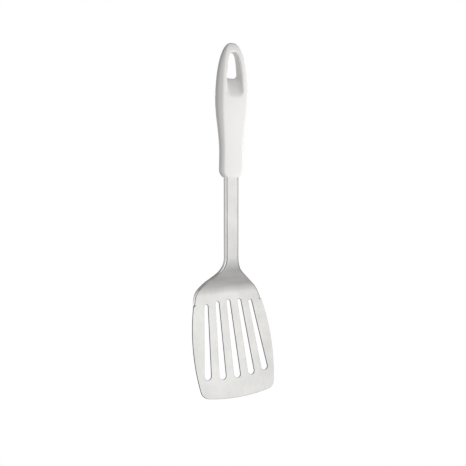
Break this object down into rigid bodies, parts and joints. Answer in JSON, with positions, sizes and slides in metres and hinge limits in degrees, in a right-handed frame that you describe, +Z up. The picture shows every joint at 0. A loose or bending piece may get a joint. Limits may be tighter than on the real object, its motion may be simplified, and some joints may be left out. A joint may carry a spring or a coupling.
{
  "type": "slotted turner",
  "caption": "Slotted kitchen turner: a cranked steel blade with fanned drain slots and turned-back shoulders, a channel shank, and a white moulded grip with a hanging eye.",
  "frame": {"origin": "the point at the top of the hanging eye, midway through the grip, where a hook carries the turner", "axes": "+Z up along the shank from the blade to the grip, -Y out of the front face, X across the blade"},
  "size_m": [0.087, 0.0285, 0.3335],
  "materials": {
    "satin_steel": "satin, finely brushed along the shank",
    "white_plastic": "glossy moulded"
  },
  "bodies": {
    "root": {"blade_and_shank": "satin_steel", "handle": "white_plastic"}
  },
  "joints": []
}
